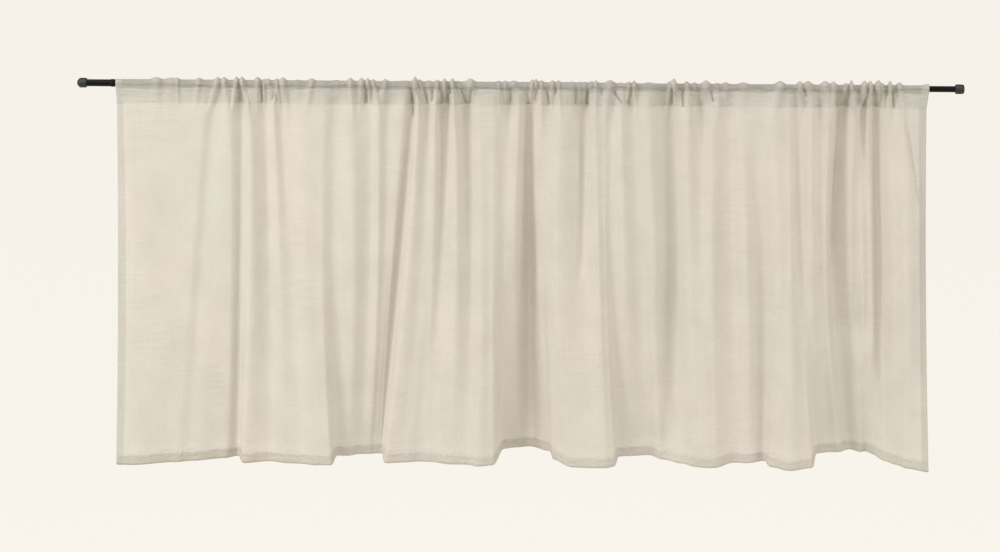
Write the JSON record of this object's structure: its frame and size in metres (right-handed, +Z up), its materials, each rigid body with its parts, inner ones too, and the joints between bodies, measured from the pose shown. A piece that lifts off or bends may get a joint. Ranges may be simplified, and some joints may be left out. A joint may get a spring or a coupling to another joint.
{
  "type": "window valance on a tension rod",
  "caption": "Gathered linen window valance with a rod casing and narrow hems, hung on a slim black tension rod with rubber end caps.",
  "frame": {"origin": "centre of the left end cap's outer face, on the rod's axis", "axes": "+X along the rod from the left end to the right end, +Z up, and the front of the cloth faces -Y"},
  "size_m": [1.348, 0.0811, 0.6056],
  "materials": {
    "natural_linen": "sheer plain-weave linen in its natural colour, with uneven threads",
    "black_tube": "satin black coated steel tube",
    "black_rubber": "matt black rubber"
  },
  "bodies": {
    "root": {"linen_panel": "natural_linen", "outer_tube": "black_tube", "inner_tube": "black_tube", "left_cap": "black_rubber", "right_cap": "black_rubber"}
  },
  "joints": []
}
